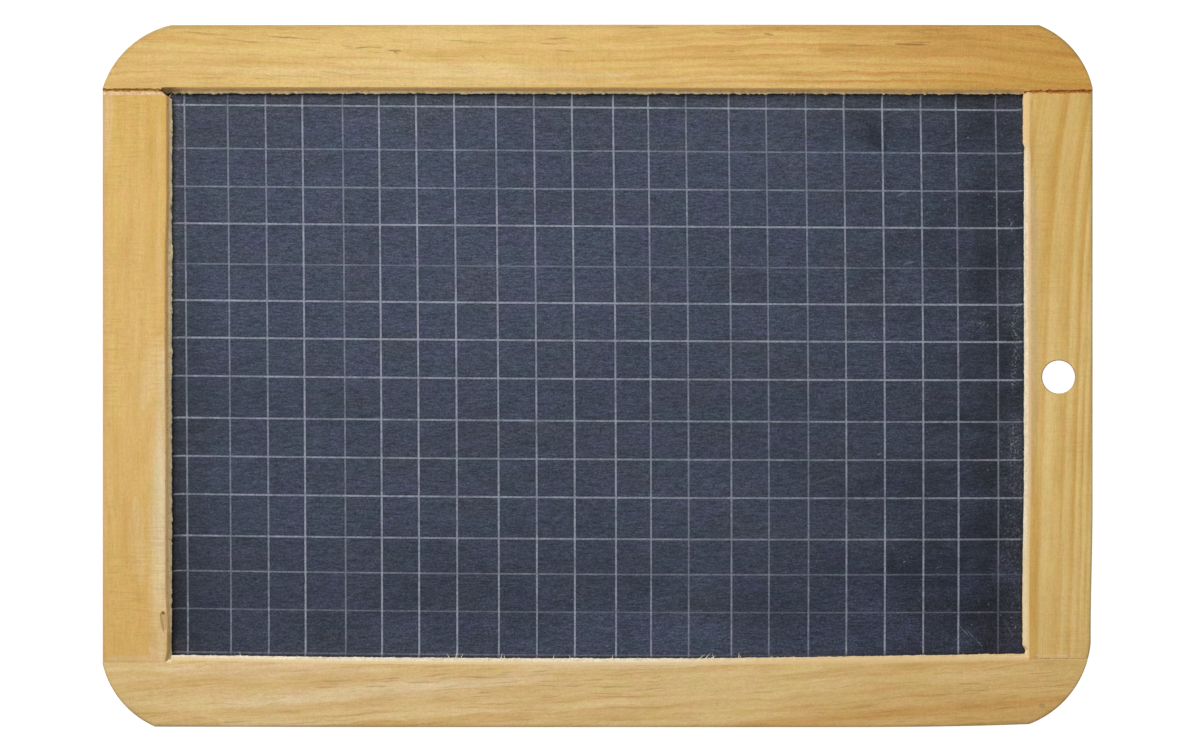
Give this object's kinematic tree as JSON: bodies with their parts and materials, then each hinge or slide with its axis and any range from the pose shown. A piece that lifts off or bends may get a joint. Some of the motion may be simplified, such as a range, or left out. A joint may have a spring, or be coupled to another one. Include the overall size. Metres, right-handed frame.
{
  "type": "school slate",
  "caption": "Flat school slate: a dark natural slate panel ruled in small squares, held in a grooved pine frame with rounded corners and a hanging hole, for writing on with chalk.",
  "frame": {"origin": "centre of the back face's outline, on the surface that the slate lies on", "axes": "+X along the long side towards the hanging hole, +Y along the short side away from the writer, +Z out of the writing face"},
  "size_m": [0.2564, 0.182, 0.0095],
  "materials": {
    "pine_top_rail": "satin",
    "pine_bottom_rail": "satin",
    "pine_left_stile": "satin",
    "pine_right_stile": "satin",
    "slate": "matte",
    "steel_brad": "satin"
  },
  "bodies": {
    "root": {"top_rail": "pine_top_rail", "bottom_rail": "pine_bottom_rail", "left_stile": "pine_left_stile", "right_stile": "pine_right_stile", "slate_panel": "slate", "brad_top_left": "steel_brad", "brad_top_right": "steel_brad", "brad_bottom_left": "steel_brad", "brad_bottom_right": "steel_brad"}
  },
  "joints": []
}
